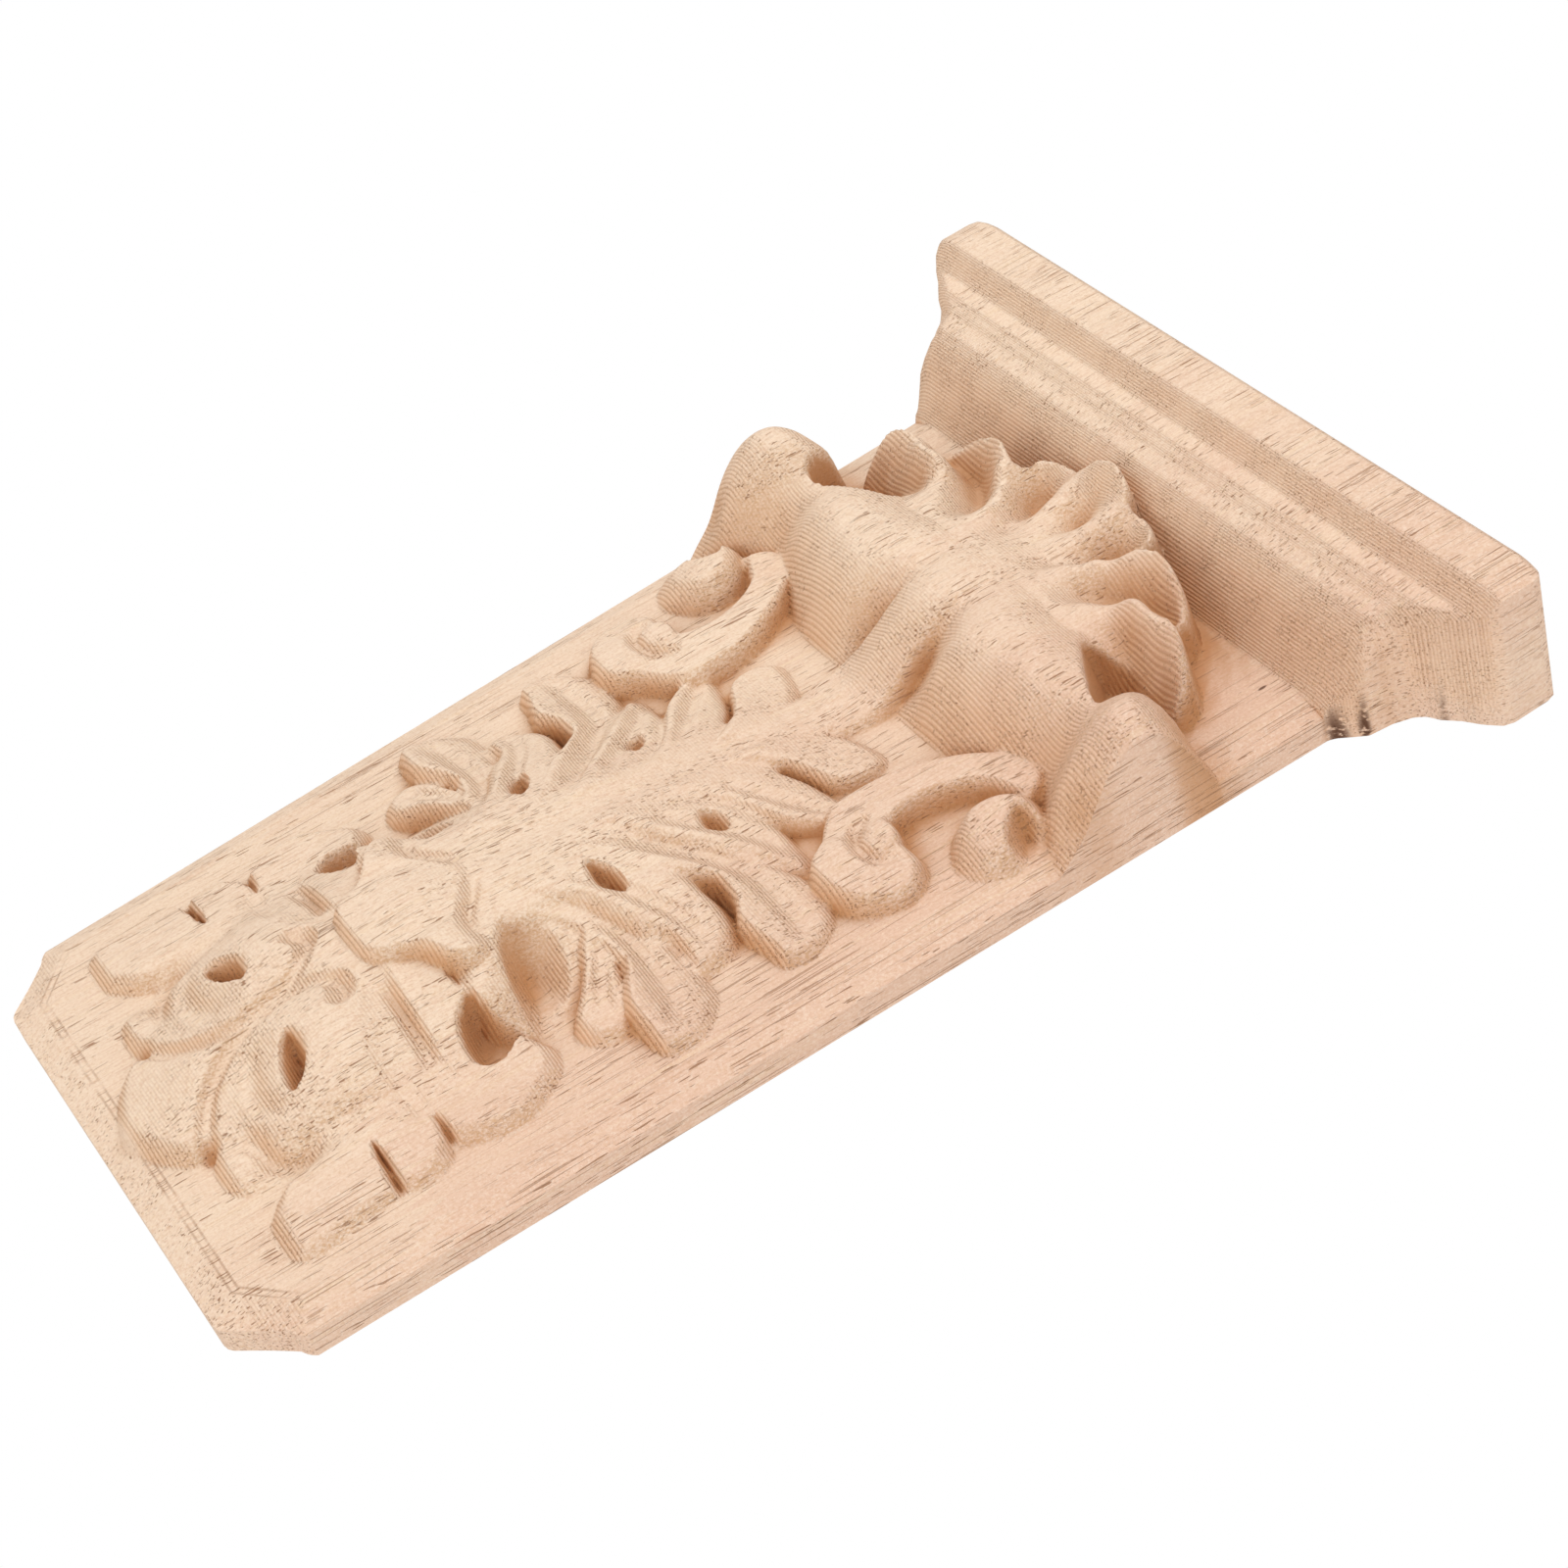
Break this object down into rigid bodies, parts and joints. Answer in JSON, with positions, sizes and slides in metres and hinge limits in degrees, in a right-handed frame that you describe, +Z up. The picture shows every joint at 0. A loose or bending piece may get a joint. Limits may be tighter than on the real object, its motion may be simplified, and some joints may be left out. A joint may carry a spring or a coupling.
{
  "type": "carved wood wall applique",
  "caption": "Flat-backed carved wood applique shaped like a pilaster head: tapering backboard, acanthus leaf, rolled capital and moulded cornice.",
  "frame": {"origin": "centre of the flat back, halfway up its length, on the wall plane", "axes": "+Z up from the foot to the cornice, +Y out of the flat back into the wall, the carved front faces -Y, X across"},
  "size_m": [0.207, 0.0339, 0.3],
  "materials": {
    "rubberwood": "bare, unfinished, as it comes off the carving machine"
  },
  "bodies": {
    "root": {"carved_applique": "rubberwood"}
  },
  "joints": []
}
